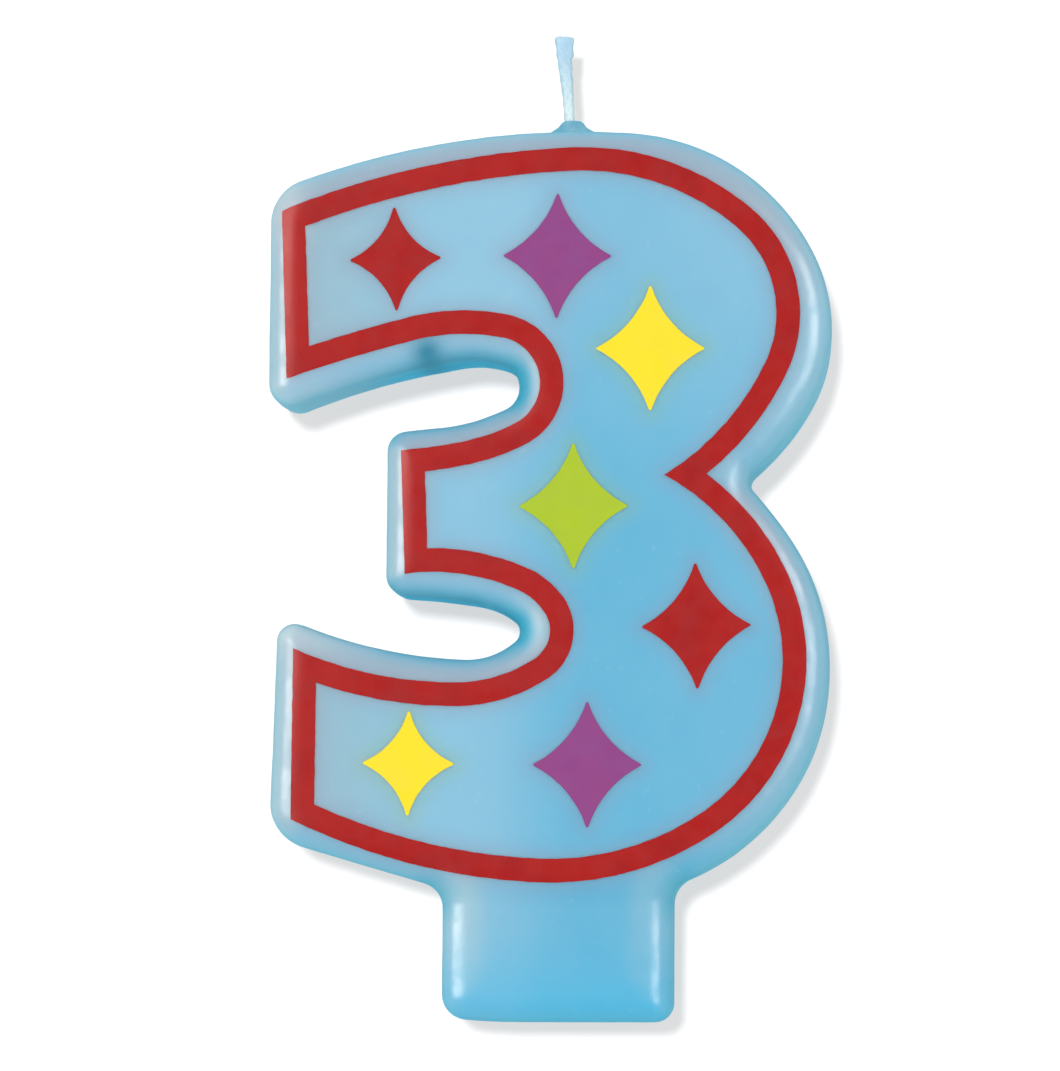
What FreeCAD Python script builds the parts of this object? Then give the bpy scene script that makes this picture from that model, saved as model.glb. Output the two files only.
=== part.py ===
"""Moulded wax birthday candle in the shape of the numeral 3, on a tab that pushes into a cake.

Frame: millimetres, +Z up, +X to the right of the printed front face, -Y towards the reader.
The origin is the middle of the flat end of the cake tab.
"""

import FreeCAD, Part
import math
import os

Vector = FreeCAD.Vector

# Driving dimensions, in millimetres. Each one becomes a cell of the sheet under this name.
DIMENSIONS = {
    # the cast numeral: depth, the rounding of both rims, and the rounding of its corners
    "numeral_depth": 12.0,
    "rim_radius": 2.0,
    "upper_arm_top_corner": 4.0,
    "upper_arm_low_corner": 2.1,
    "middle_arm_corner": 2.05,
    "lower_arm_top_corner": 2.05,
    "lower_arm_low_corner": 3.9,
    "waist_corner": 1.0,
    # the cake tab, whose end is level but for a slight lift at its left
    "tab_left": 9.85,
    "tab_right": 9.75,
    "tab_depth": 11.0,
    "tab_rim_radius": 1.5,
    "tab_left_corner": 2.2,
    "tab_right_corner": 1.6,
    "tab_end_level_from": 3.0,
    "tab_end_lift": 0.4,
    # the dyed coat that the white core is dipped in
    "coat_thickness": 0.7,
    # the cotton wick, bedded straight in the core and leaning where it comes out
    "wick_line": 0.8,
    "wick_radius": 0.5,
    "wick_foot": 3.0,
    "wick_exit": 76.6,
    "wick_tip_line": 0.25,
    "wick_tip_height": 84.5,
    # the wax drawn up round the wick
    "collar_base_height": 75.8,
    "collar_rise": 1.3,
    "collar_top_radius": 0.68,
    "collar_foot_radius": 2.4,
    # the printed films on the front face
    "print_thickness": 0.12,
    "print_skirt": 0.3,
    "band_width": 2.0,
}
SHARP_CORNERS = 2

# Outlines are drawn in the XZ plane, clockwise from the upper left corner, with every
# corner sharp. Each stretch runs from one corner to the next: the compass of its first
# curve in degrees from +X, then the ends of its arcs, each tangent to the one before.
# A stretch with no compass is a straight side.
NUMERAL_START = (-24.65, 70.7)
WAIST = (15.9, 45.85)
LOWER_ARM_LOW = (-24.6, 15.6)
LOWER_ARM_TOP = (-23.9, 34.65)
MIDDLE_ARM_LOW = (-14.7, 36.2)
MIDDLE_ARM_TOP = (-14.6, 50.0)
UPPER_ARM_LOW = (-24.75, 51.2)
NUMERAL = [
    (22.0, [(6.2, 75.65), (22.05, 64.65), (21.65, 52.7), WAIST]),
    (-47.0, [(19.5, 41.4), (4.2, 10.55), LOWER_ARM_LOW]),
    (None, [LOWER_ARM_TOP]),
    (-24.7, [(-8.05, 30.8), (-3.65, 32.3), (-3.65, 33.85), (-7.3, 35.5), MIDDLE_ARM_LOW]),
    (None, [MIDDLE_ARM_TOP]),
    (7.5, [(-10.1, 50.5), (-4.5, 52.05), (-4.75, 55.75), (-8.45, 56.05), UPPER_ARM_LOW]),
    (None, [NUMERAL_START]),
]

# The printed outline's outer edge. It sits a little turned on the face, as pad printing
# does, so it is drawn by itself and isn't an offset of the numeral.
BAND_START = (-23.45, 68.85)
BAND = [
    (21.7, [(1.1, 74.1), (16.45, 68.85), (19.45, 54.8), (12.7, 46.3)]),
    (-36.6, [(19.45, 38.05), (13.25, 15.95), (-1.35, 11.85), (-22.45, 17.15)]),
    (None, [(-22.3, 31.6)]),
    (-23.8, [(-8.5, 28.7), (-1.8, 30.7), (-1.05, 34.75), (-3.2, 36.5), (-12.85, 37.9)]),
    (None, [(-13.2, 48.4)]),
    (3.5, [(-7.5, 49.2), (-3.5, 50.65), (-4.5, 57.9), (-12.05, 57.75), (-22.95, 54.5)]),
    (None, [BAND_START]),
]

# Four-pointed stars: half width, half height, and how far the hollow sides stay from the
# centre along the diagonals.
STAR_KINDS = {"small": (3.85, 4.4, 2.3), "large": (4.57, 5.28, 2.83)}
# each tip is rounded over this length, and this far to each side
STAR_TIP = 0.1
STAR_TIP_SPREAD = 0.12
# kind, centre in x and z, and turn in degrees
STARS = {
    "star_red_upper": ("small", -13.7, 64.65, 1.4),
    "star_purple_upper": ("large", 0.05, 64.85, -0.6),
    "star_yellow_upper": ("large", 7.95, 56.95, -0.1),
    "star_green_middle": ("large", 1.45, 43.6, 0.1),
    "star_red_lower": ("large", 11.85, 33.45, 1.0),
    "star_yellow_lower": ("small", -12.5, 21.85, -0.7),
    "star_purple_lower": ("large", 2.65, 21.75, 0.0),
}

# The wick's free end: share of the way up, half width across the face, half depth.
# The flat braid stands edge on at the wax and has turned broadside by its tip.
WICK_STAGES = [(0.3, 0.4, 0.58), (0.65, 0.6, 0.46), (1.0, 0.78, 0.4)]

doc = FreeCAD.newDocument("NumeralCandle")


def make_sheet():
    sheet = doc.addObject("Spreadsheet::Sheet", "Dimensions")
    for row, (alias, value) in enumerate(DIMENSIONS.items(), start=1):
        sheet.set(f"A{row}", alias.replace("_", " "))
        sheet.set(f"B{row}", str(value))
        sheet.setAlias(f"B{row}", alias)
    doc.recompute()
    return sheet


def size(alias):
    """A driving dimension as the sheet holds it."""
    return float(getattr(sheet, alias))


def bind(feature, **rules):
    """Binds properties to expressions, in which <name> stands for a cell of the sheet."""
    for name, rule in rules.items():
        feature.setExpression(name, rule.replace("<", "Dimensions.").replace(">", ""))


def flat(point):
    """An XZ point as a vector in the sketch plane."""
    return Vector(point[0], point[1], 0)


def tangent_arc(start, heading, end):
    """The arc that leaves start along a heading and reaches end, and its heading there."""
    chord = end - start
    bearing = math.atan2(chord.y, chord.x)
    turn = math.remainder(bearing - heading, 2 * math.pi)
    bulge = Vector(chord.y, -chord.x, 0) * math.tan(turn / 2) / 2
    return Part.Arc(start, (start + end) / 2 + bulge, end), bearing + turn


def outline_curves(start, stretches):
    """The curves of a closed outline, from its stretches."""
    curves, here = [], flat(start)
    for compass, ends in stretches:
        heading = None if compass is None else math.radians(compass)
        for end in ends:
            if heading is None:
                curve = Part.LineSegment(here, flat(end))
            else:
                curve, heading = tangent_arc(here, heading, flat(end))
            curves.append(curve)
            here = flat(end)
    return curves


def inset_curves(curves, distance):
    """The same outline moved inwards, its corners kept sharp."""
    wire = Part.Wire(Part.__sortEdges__([curve.toShape() for curve in curves]))
    moved = wire.makeOffset2D(-distance, join=SHARP_CORNERS)
    inner = []
    for edge in moved.OrderedEdges:
        first, last = edge.firstVertex(True).Point, edge.lastVertex(True).Point
        if isinstance(edge.Curve, Part.Line):
            inner.append(Part.LineSegment(first, last))
        else:
            low, high = edge.ParameterRange
            inner.append(Part.Arc(first, edge.valueAt((low + high) / 2), last))
    return inner


def add_sketch(body, name, role, curves, stand_off="0"):
    """A sketch on one of the body's own planes, or parallel to it at a stand-off."""
    sketch = body.newObject("Sketcher::SketchObject", name)
    plane = next(part for part in body.Origin.OriginFeatures if part.Role == role)
    sketch.AttachmentSupport = (plane, [""])
    sketch.MapMode = "FlatFace"
    sketch.addGeometry(curves, False)
    bind(sketch, **{"AttachmentOffset.Base.z": stand_off})
    sketch.Visibility = False
    doc.recompute()
    return sketch


def add_pad(body, name, sketch, length, both_sides=False):
    pad = body.newObject("PartDesign::Pad", name)
    pad.Profile = sketch
    pad.Midplane = both_sides
    bind(pad, Length=length)
    body.Tip = pad
    doc.recompute()
    return pad


def corner_edges(feature, corner):
    """Names of the edges that run straight through the depth at an outline corner."""
    names = []
    for number, edge in enumerate(feature.Shape.Edges, start=1):
        ends = [vertex.Point for vertex in edge.Vertexes]
        off = max(math.hypot(p.x - corner.x, p.z - corner.y) for p in ends)
        if len(ends) == 2 and off < 0.01:
            names.append(f"Edge{number}")
    return names


def rim_edges(feature, half_depth):
    """Names of the edges round the front and the back face."""
    names = []
    for number, edge in enumerate(feature.Shape.Edges, start=1):
        if abs(abs(edge.CenterOfMass.y) - half_depth) < 1e-4:
            names.append(f"Edge{number}")
    return names


def add_fillet(body, name, base, edges, radius):
    if not edges:
        raise RuntimeError(f"{name} found no edges")
    fillet = body.newObject("PartDesign::Fillet", name)
    fillet.Base = (base, edges)
    bind(fillet, Radius=radius)
    body.Tip = fillet
    doc.recompute()
    return fillet


def rounded_plate(name, curves, depth, corners, rim, inset):
    """A plate with rounded corners and rounded rims, smaller all round by the inset.

    Proud corners shrink with the inset and hollow ones grow, so the skin between the
    full plate and the inset one has an even thickness.
    """
    body = doc.addObject("PartDesign::Body", name)
    if inset != "0":
        curves = inset_curves(curves, size("coat_thickness"))
    sketch = add_sketch(body, f"{name}_outline", "XZ_Plane", curves)
    shape = add_pad(body, f"{name}_plate", sketch, f"{depth} - 2 * {inset}", True)
    half_depth = shape.Length.Value / 2
    starts = [curve.StartPoint for curve in curves]
    for alias, hollow, points in corners:
        edges = []
        for point in points:
            corner = min(starts, key=lambda p: (p - flat(point)).Length)
            edges += corner_edges(shape, corner)
        radius = f"<{alias}> + {inset}" if hollow else f"<{alias}> - {inset}"
        shape = add_fillet(body, f"{name}_{alias}", shape, edges, radius)
    add_fillet(body, f"{name}_rims", shape, rim_edges(shape, half_depth), f"{rim} - {inset}")
    return body


def make_numeral(name, inset):
    corners = [
        ("upper_arm_top_corner", False, [NUMERAL_START]),
        ("upper_arm_low_corner", False, [UPPER_ARM_LOW]),
        ("middle_arm_corner", False, [MIDDLE_ARM_LOW, MIDDLE_ARM_TOP]),
        ("lower_arm_top_corner", False, [LOWER_ARM_TOP]),
        ("lower_arm_low_corner", False, [LOWER_ARM_LOW]),
        ("waist_corner", True, [WAIST]),
    ]
    curves = outline_curves(NUMERAL_START, NUMERAL)
    return rounded_plate(name, curves, "<numeral_depth>", corners, "<rim_radius>", inset)


def make_tab(name, inset):
    """The tab, its two flares into the numeral, and a root that lies inside it."""
    left, right = -size("tab_left"), size("tab_right")
    left_neck, left_meets = (left, 9.75), (-11.3, 11.68)
    right_neck, right_meets = (right, 10.25), (11.1, 12.1)
    root = 16.0
    level, lifted = (-size("tab_end_level_from"), 0.0), (left, size("tab_end_lift"))
    stretches = [
        (90.0, [left_meets]),
        (None, [(left_meets[0], root), (right_meets[0], root), right_meets]),
        (-156.9, [right_neck]),
        (None, [(right, 0.0), level]),
        (180.0, [lifted]),
        (None, [left_neck]),
    ]
    corners = [
        ("tab_left_corner", False, [lifted]),
        ("tab_right_corner", False, [(right, 0.0)]),
    ]
    curves = outline_curves(left_neck, stretches)
    return rounded_plate(name, curves, "<tab_depth>", corners, "<tab_rim_radius>", inset)


def cut(name, base, tool):
    """A boolean cut, checked to have taken something away."""
    made = doc.addObject("Part::Cut", name)
    made.Base, made.Tool = base, tool
    doc.recompute()
    if made.Shape.Volume >= base.Shape.Volume:
        raise RuntimeError(f"{name} removed nothing")
    return made


def make_form(name, inset):
    """Numeral and tab in one."""
    fused = doc.addObject("Part::MultiFuse", name)
    fused.Shapes = [make_numeral(f"{name}_numeral", inset), make_tab(f"{name}_tab", inset)]
    doc.recompute()
    return fused


def make_wick():
    """Straight and round in the wax, then leaning and fanning out to its cut tip."""
    body = doc.addObject("PartDesign::Body", "wick_braid")
    line, tip_line = size("wick_line"), size("wick_tip_line")
    up = Vector(0, 0, 1)
    ring = Part.Circle(Vector(line, 0, 0), up, size("wick_radius"))
    foot = add_sketch(body, "wick_foot_section", "XY_Plane", [ring], "<wick_foot>")
    add_pad(body, "wick_bedded", foot, "<wick_exit> - <wick_foot>")
    sections = [add_sketch(body, "wick_exit_section", "XY_Plane", [ring], "<wick_exit>")]
    for number, (share, half_width, half_depth) in enumerate(WICK_STAGES, start=1):
        middle = Vector(line + (tip_line - line) * share, 0, 0)
        across, through = Vector(half_width, 0, 0), Vector(0, half_depth, 0)
        if half_depth > half_width:
            across, through = through, -across
        oval = Part.Ellipse(middle + across, middle + through, middle)
        height = f"<wick_exit> + {share} * (<wick_tip_height> - <wick_exit>)"
        sections.append(add_sketch(body, f"wick_section_{number}", "XY_Plane", [oval], height))
    free = body.newObject("PartDesign::AdditiveLoft", "wick_free_end")
    free.Profile = sections[0]
    free.Sections = sections[1:]
    body.Tip = free
    doc.recompute()
    return body


def make_collar(form, wick):
    """The bell of wax drawn up the wick, seated on the top of the numeral."""
    body = doc.addObject("PartDesign::Body", "collar_bell")
    base, rise = size("collar_base_height"), size("collar_rise")
    top, foot = size("collar_top_radius"), size("collar_foot_radius")
    seat = base - 1.0
    stretches = [
        (-15.0, [(top + 0.3, base + 0.72 * rise)]),
        (-52.0, [(foot, base)]),
        (None, [(foot, seat), (0, seat), (0, base + rise)]),
    ]
    crown = [Part.LineSegment(Vector(0, base + rise, 0), Vector(top - 0.1, base + rise, 0))]
    profile = crown + outline_curves((top - 0.1, base + rise), stretches)
    sketch = add_sketch(body, "collar_profile", "XZ_Plane", profile)
    bell = body.newObject("PartDesign::Revolution", "collar_turned")
    bell.Profile = sketch
    bell.ReferenceAxis = (sketch, ["V_Axis"])
    bell.Angle = 360.0
    body.Tip = bell
    bind(body, **{"Placement.Base.x": "<wick_line>"})
    doc.recompute()
    return cut("collar", cut("collar_seated", body, form), wick)


def printed_film(name, curves, form):
    """Ink on the front face: a thin plate whose back is cut to the wax below it."""
    body = doc.addObject("PartDesign::Body", f"{name}_plate")
    stand_off = "<numeral_depth> / 2 - <print_skirt>"
    sketch = add_sketch(body, f"{name}_edge", "XZ_Plane", curves, stand_off)
    add_pad(body, f"{name}_film", sketch, "<print_skirt> + <print_thickness>")
    return cut(f"{name}_ink", body, form)


def star_curves(kind, centre_x, centre_z, turn):
    """Four hollow sides between four slightly blunted tips, turned by a few degrees."""
    half_width, half_height, hollow = STAR_KINDS[kind]
    middle = Vector(centre_x, centre_z, 0)
    turning = FreeCAD.Rotation(Vector(0, 0, 1), turn)
    tips = [(0, half_height), (half_width, 0), (0, -half_height), (-half_width, 0)]
    blunted = []
    for x, z in tips:
        outward = Vector(x, z, 0).normalize()
        shoulder = Vector(x, z, 0) - outward * STAR_TIP
        aside = Vector(-outward.y, outward.x, 0) * STAR_TIP_SPREAD
        blunted.append((shoulder + aside, Vector(x, z, 0), shoulder - aside))
    curves = []
    for number, (before, point, after) in enumerate(blunted):
        following = blunted[(number + 1) % 4]
        waist = (point + following[1]).normalize()
        waist = Vector(math.copysign(1, waist.x), math.copysign(1, waist.y), 0).normalize() * hollow
        stops = [before, point, after, waist, following[0]]
        stops = [middle + turning.multVec(stop) for stop in stops]
        curves.append(Part.Arc(stops[0], stops[1], stops[2]))
        curves.append(Part.Arc(stops[2], stops[3], stops[4]))
    return curves


def write_parts(parts):
    """Checks every object, then writes one STEP file for each sub-part."""
    for label, thing in parts.items():
        thing.Label = label
    doc.recompute()
    for thing in doc.Objects:
        if {"Invalid", "Error"} & set(thing.State):
            raise RuntimeError(f"{thing.Name} failed: {thing.State}")
    os.makedirs("parts", exist_ok=True)
    for label, thing in parts.items():
        shape = thing.Shape
        if shape.isNull() or not shape.isValid() or not shape.Solids:
            raise RuntimeError(f"{label} has no valid solid")
        shape.exportStep(f"parts/{label}.step")
        print(f"{label}: {len(shape.Solids)} solid, {shape.Volume:.2f} mm3")


sheet = make_sheet()
outer = make_form("outer_form", "0")
inner = make_form("inner_form", "<coat_thickness>")
wick = make_wick()
band_outer = outline_curves(BAND_START, BAND)
band = band_outer + inset_curves(band_outer, size("band_width"))

parts = {
    "wax_core": cut("core", inner, wick),
    "dip_coat": cut("coat", cut("coat_unpierced", outer, inner), wick),
    "wick": wick,
    "wick_collar": make_collar(outer, wick),
    "outline_print": printed_film("outline", band, outer),
}
for star, shape in STARS.items():
    parts[star] = printed_film(star, star_curves(*shape), outer)
write_parts(parts)
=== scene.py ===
import math

import bpy
import numpy as np
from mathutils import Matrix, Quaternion, Vector
from mathutils.bvhtree import BVHTree
from mathutils.geometry import delaunay_2d_cdt
from mathutils.kdtree import KDTree


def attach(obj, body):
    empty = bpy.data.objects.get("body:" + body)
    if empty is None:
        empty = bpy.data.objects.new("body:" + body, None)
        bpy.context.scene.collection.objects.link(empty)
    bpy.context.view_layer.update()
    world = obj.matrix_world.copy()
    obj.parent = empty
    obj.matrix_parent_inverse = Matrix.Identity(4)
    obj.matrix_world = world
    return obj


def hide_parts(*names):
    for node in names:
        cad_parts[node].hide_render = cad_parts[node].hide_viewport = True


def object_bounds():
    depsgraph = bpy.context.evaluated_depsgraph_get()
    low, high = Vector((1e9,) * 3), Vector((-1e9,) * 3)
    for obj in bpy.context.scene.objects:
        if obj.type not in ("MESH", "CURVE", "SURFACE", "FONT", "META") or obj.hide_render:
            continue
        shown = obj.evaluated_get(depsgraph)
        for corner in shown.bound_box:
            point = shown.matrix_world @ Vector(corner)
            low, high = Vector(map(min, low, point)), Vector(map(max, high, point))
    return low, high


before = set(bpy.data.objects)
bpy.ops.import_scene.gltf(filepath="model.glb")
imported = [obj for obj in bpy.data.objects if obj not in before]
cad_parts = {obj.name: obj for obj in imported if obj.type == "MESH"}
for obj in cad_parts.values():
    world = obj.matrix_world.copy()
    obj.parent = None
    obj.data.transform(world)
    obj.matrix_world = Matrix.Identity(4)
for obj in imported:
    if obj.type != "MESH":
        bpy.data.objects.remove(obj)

CAD_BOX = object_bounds()
CANDLE_MIDDLE = (CAD_BOX[0] + CAD_BOX[1]) / 2
MM = 0.001

# ---------------------------------------------------------------- sizes, in millimetres
# Outlines are drawn in the XZ plane, clockwise from the upper left corner. Each stretch
# is the compass of its first curve in degrees from +X and the ends of its arcs, each
# tangent to the one before, and ends at a corner of the given radius, below zero for a
# hollow corner and zero for a sharp one. A stretch with no compass is straight.
BODY_START = (-24.65, 70.7)
BODY = [
    (22.0, [(6.2, 75.65), (22.05, 64.65), (21.65, 52.7), (15.9, 45.85)], -1.0),
    (-47.0, [(19.5, 41.4), (11.1, 12.1), (9.75, 10.25)], 0.0),
    (None, [(9.75, 0.0)], 1.6),
    (None, [(-3.0, 0.0)], 0.0),
    (180.0, [(-9.85, 0.4)], 2.2),
    (None, [(-9.85, 9.75)], 0.0),
    (90.0, [(-11.3, 11.68), (-24.6, 15.6)], 3.9),
    (None, [(-23.9, 34.65)], 1.6),
    (-24.7, [(-8.05, 30.8), (-3.65, 32.3), (-3.65, 33.85), (-7.3, 35.5), (-14.7, 36.2)], 1.8),
    (None, [(-14.6, 50.0)], 1.8),
    (7.5, [(-10.1, 50.5), (-4.5, 52.05), (-4.75, 55.75), (-8.45, 56.05), (-24.75, 51.2)], 2.0),
    (None, [BODY_START], 4.0),
]
BAND_START = (-23.45, 68.85)
BAND = [
    (21.7, [(1.1, 74.1), (16.45, 68.85), (19.45, 54.8), (12.7, 46.3)], 0.0),
    (-36.6, [(19.45, 38.05), (13.25, 15.95), (-1.35, 11.85), (-22.45, 17.15)], 0.0),
    (None, [(-22.3, 31.6)], 0.0),
    (-23.8, [(-8.5, 28.7), (-1.8, 30.7), (-1.05, 34.75), (-3.2, 36.5), (-12.85, 37.9)], 0.0),
    (None, [(-13.2, 48.4)], 0.0),
    (3.5, [(-7.5, 49.2), (-3.5, 50.65), (-4.5, 57.9), (-12.05, 57.75), (-22.95, 54.5)], 0.0),
    (None, [BAND_START], 0.0),
]
BAND_WIDTH = 2.0
NUMERAL_HALF_DEPTH = 6.0
TAB_HALF_DEPTH = 5.5
# the heights between which the tab's depth grows to the numeral's
TAB_BLEND = (9.8, 12.8)
# how far in from the edges the rims are rounded
RIM_REACH = 2.8
# above 2, the rim's curve starts softly instead of as a plain arc
RIM_POWER = 2.5
# the surface keeps this far inside the full size, so that its ripples stay inside it too
SKIN_ALLOWANCE = 0.07
# how far the line where the mould closed stands proud
SEAM_HEIGHT = 0.05
# the grid that the wax's surface is built on, and the box it fills
MESH_STEP = 0.34
GRID_LOW = (-25.6, -6.8, -0.8)
GRID_HIGH = (23.9, 6.8, 76.9)

# half width, half height, and how far the hollow sides stay from the centre
STAR_KINDS = {"small": (3.85, 4.4, 2.3), "large": (4.57, 5.28, 2.83)}
# kind, centre in x and z, turn in degrees, and ink
STARS = {
    "star_red_upper": ("small", -13.7, 64.65, 1.4, "ink_red"),
    "star_purple_upper": ("large", 0.05, 64.85, -0.6, "ink_purple"),
    "star_yellow_upper": ("large", 7.95, 56.95, -0.1, "ink_yellow"),
    "star_green_middle": ("large", 1.45, 43.6, 0.1, "ink_green"),
    "star_red_lower": ("large", 11.85, 33.45, 1.0, "ink_red"),
    "star_yellow_lower": ("small", -12.5, 21.85, -0.7, "ink_yellow"),
    "star_purple_lower": ("large", 2.65, 21.75, 0.0, "ink_purple"),
}
# each tip is blunted over this length, and this far to each side
STAR_TIP = 0.1
STAR_TIP_SPREAD = 0.12
# the ink stands this far proud of the wax, and is bedded this deep in it
INK_HEIGHT = 0.035
INK_BED = 0.03
# how far apart the points of a film lie: round the band's edges, round a star, and inside
BAND_STEP = 0.3
STAR_STEP = 0.25
FILM_STEP = 0.5

# the wick's line: where it leaves the wax, where it ends, and its foot in the candle
WICK_BASE = Vector((0.8, 0.0, 76.6))
WICK_TIP = Vector((0.2, 0.0, 84.32))
WICK_FOOT = 3.0
# the bare wick: share of the way up, half width across the face, and half depth
WICK_STAGES = [(0, 0.44, 0.5), (0.3, 0.47, 0.52), (0.65, 0.58, 0.46), (1, 0.76, 0.36)]
# the bell of wax drawn up the wick
COLLAR_X = 0.95
COLLAR_CROWN = 77.08
COLLAR_TOP_RADIUS = 0.68
COLLAR_FOOT_RADIUS = 2.15


# ---------------------------------------------------------------- outline curves
def arc_between(start, heading, end):
    """The arc that leaves start along a heading and reaches end, as a curve."""
    chord = end - start
    bearing = math.atan2(chord[1], chord[0])
    turn = math.remainder(bearing - heading, 2 * math.pi)
    radius = np.hypot(*chord) / (2 * math.sin(abs(turn)))
    side = math.copysign(1, turn)
    centre = start + side * radius * np.array([-math.sin(heading), math.cos(heading)])
    return {"a": start, "b": end, "c": centre, "r": radius, "side": side}, bearing + turn


def outline(start, stretches):
    """The closed run of curves of an outline, with its corners rounded."""
    curves, corners, here = [], [], np.array(start, float)
    for compass, ends, corner in stretches:
        heading = None if compass is None else math.radians(compass)
        for end in ends:
            end = np.array(end, float)
            if heading is None:
                curve = {"a": here, "b": end, "c": None}
            else:
                curve, heading = arc_between(here, heading, end)
            curves.append(curve)
            corners.append(0.0)
            here = end
        corners[-1] = corner
    rounded = []
    for number, corner in enumerate(corners):
        rounded.append(curves[number])
        if corner:
            following = curves[(number + 1) % len(curves)]
            rounded.append(round_corner(curves[number], following, corner))
    return rounded


def inner_side(curve, points):
    """Distance of points from a curve's full line or circle, above zero on its right."""
    if curve["c"] is None:
        along = (curve["b"] - curve["a"]) / np.hypot(*(curve["b"] - curve["a"]))
        return (points - curve["a"]) @ np.array([along[1], -along[0]])
    return curve["side"] * (np.hypot(*(points - curve["c"]).T) - curve["r"])


def right_normal(curve, point):
    """Direction in which inner_side grows fastest."""
    if curve["c"] is None:
        along = (curve["b"] - curve["a"]) / np.hypot(*(curve["b"] - curve["a"]))
        return np.array([along[1], -along[0]])
    out = point - curve["c"]
    return curve["side"] * out / np.hypot(*out)


def equidistant(first, second, start, distance):
    """The point near start that lies at one distance from both curves."""
    point = start.astype(float)
    for _ in range(12):
        slopes = np.array([right_normal(first, point), right_normal(second, point)])
        misses = [inner_side(curve, point[None])[0] - distance for curve in (first, second)]
        point = point - np.linalg.solve(slopes, misses)
    return point


def round_corner(first, second, radius):
    """Trims two curves at their corner and returns the fillet between them."""
    corner = first["b"]
    bisector = right_normal(first, corner) + right_normal(second, corner)
    centre = equidistant(first, second, corner + bisector * radius / 2, radius)
    first["b"] = centre - right_normal(first, centre) * radius
    second["a"] = centre - right_normal(second, centre) * radius
    side = -math.copysign(1, radius)
    return {"a": first["b"], "b": second["a"], "c": centre, "r": abs(radius), "side": side}


def sweep(curve):
    """Start angle and swept angle of an arc, the sweep below zero when clockwise."""
    low = math.atan2(*(curve["a"] - curve["c"])[::-1])
    high = math.atan2(*(curve["b"] - curve["c"])[::-1])
    return low, curve["side"] * ((curve["side"] * (high - low)) % (2 * math.pi))


def point_on(curve, share):
    """The point a share of the way along a curve."""
    if curve["c"] is None:
        return curve["a"] + (curve["b"] - curve["a"]) * share
    low, turn = sweep(curve)
    angle = low + turn * share
    return curve["c"] + curve["r"] * np.array([math.cos(angle), math.sin(angle)])


def length_of(curve):
    """The length of a curve, straight or round."""
    if curve["c"] is None:
        return float(np.hypot(*(curve["b"] - curve["a"])))
    return abs(sweep(curve)[1]) * curve["r"]


def outline_distance(curves, points):
    """Signed distance of XZ points from a smooth closed outline, below zero inside."""
    best = np.full(len(points), np.inf)
    signed = np.zeros(len(points))
    for curve in curves:
        side = inner_side(curve, points)
        ends = np.minimum(
            np.hypot(*(points - curve["a"]).T), np.hypot(*(points - curve["b"]).T)
        )
        if curve["c"] is None:
            along = curve["b"] - curve["a"]
            share = (points - curve["a"]) @ along / (along @ along)
            beside = (share >= 0) & (share <= 1)
        else:
            low, turn = sweep(curve)
            out = points - curve["c"]
            angle = np.arctan2(out[:, 1], out[:, 0])
            beside = (curve["side"] * (angle - low)) % (2 * math.pi) <= abs(turn)
        distance = np.where(beside, np.abs(side), ends)
        nearer = distance < best
        best = np.where(nearer, distance, best)
        signed = np.where(nearer, -np.sign(side) * distance, signed)
    return signed


# ---------------------------------------------------------------- noise and meshes
def ripple(points, scale, seed, layers=3):
    """Smooth seeded noise between about -1 and 1, over points of any dimension."""
    chance = np.random.default_rng(seed)
    total = np.zeros(len(points))
    for layer in range(layers):
        for _ in range(6):
            wave = chance.normal(size=points.shape[1])
            wave *= 2 * math.pi / (scale / 1.8**layer) / np.linalg.norm(wave)
            phase = chance.uniform(0, 2 * math.pi)
            total += np.sin(points @ wave + phase) / 1.8**layer
    return total / 6


def smoothstep(low, high, value):
    """Rises smoothly from nothing at low to one at high, or falls if high is below low."""
    share = np.clip((value - low) / (high - low), 0, 1)
    return share * share * (3 - 2 * share)


def point_tree(points):
    """A search tree over XZ points."""
    tree = KDTree(len(points))
    for number, (x, z) in enumerate(points):
        tree.insert((x, z, 0), number)
    tree.balance()
    return tree


def surface_net(axes, value):
    """Quads over the zero surface of values on a grid, with a vertex in each cell it crosses."""
    grid = np.stack(np.meshgrid(*axes, indexing="ij"), -1)
    step = axes[0][1] - axes[0][0]
    inside = value < 0
    cells = tuple(count - 1 for count in value.shape)
    total, hits = np.zeros(cells + (3,)), np.zeros(cells)
    crossings = []
    for axis in range(3):
        near = [slice(None)] * 3
        far = [slice(None)] * 3
        near[axis], far[axis] = slice(0, -1), slice(1, None)
        near, far = tuple(near), tuple(far)
        crossing = inside[near] != inside[far]
        gap = np.where(crossing, value[near] - value[far], 1.0)
        points = grid[near].copy()
        points[..., axis] += step * value[near] / gap
        across = [other for other in range(3) if other != axis]
        for shift in ((0, 0), (0, 1), (1, 0), (1, 1)):
            part = [slice(None)] * 3
            for other, offset in zip(across, shift):
                part[other] = slice(offset, offset + cells[other])
            part = tuple(part)
            total += points[part] * crossing[part][..., None]
            hits += crossing[part]
        crossings.append((axis, crossing, inside[near]))
    index = np.full(cells, -1)
    used = hits > 0
    index[used] = np.arange(used.sum())
    vertices = total[used] / hits[used][:, None]
    quads = []
    for axis, crossing, starts_inside in crossings:
        second, third = (axis + 1) % 3, (axis + 2) % 3
        spots = np.argwhere(crossing)
        corners = []
        for back_second, back_third in ((1, 1), (0, 1), (0, 0), (1, 0)):
            cell = spots.copy()
            cell[:, second] -= back_second
            cell[:, third] -= back_third
            corners.append(index[tuple(cell.T)])
        quad = np.stack(corners, 1)
        outward = starts_inside[tuple(spots.T)]
        quads.append(np.where(outward[:, None], quad, quad[:, ::-1]))
    return vertices, np.vstack(quads)


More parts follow.
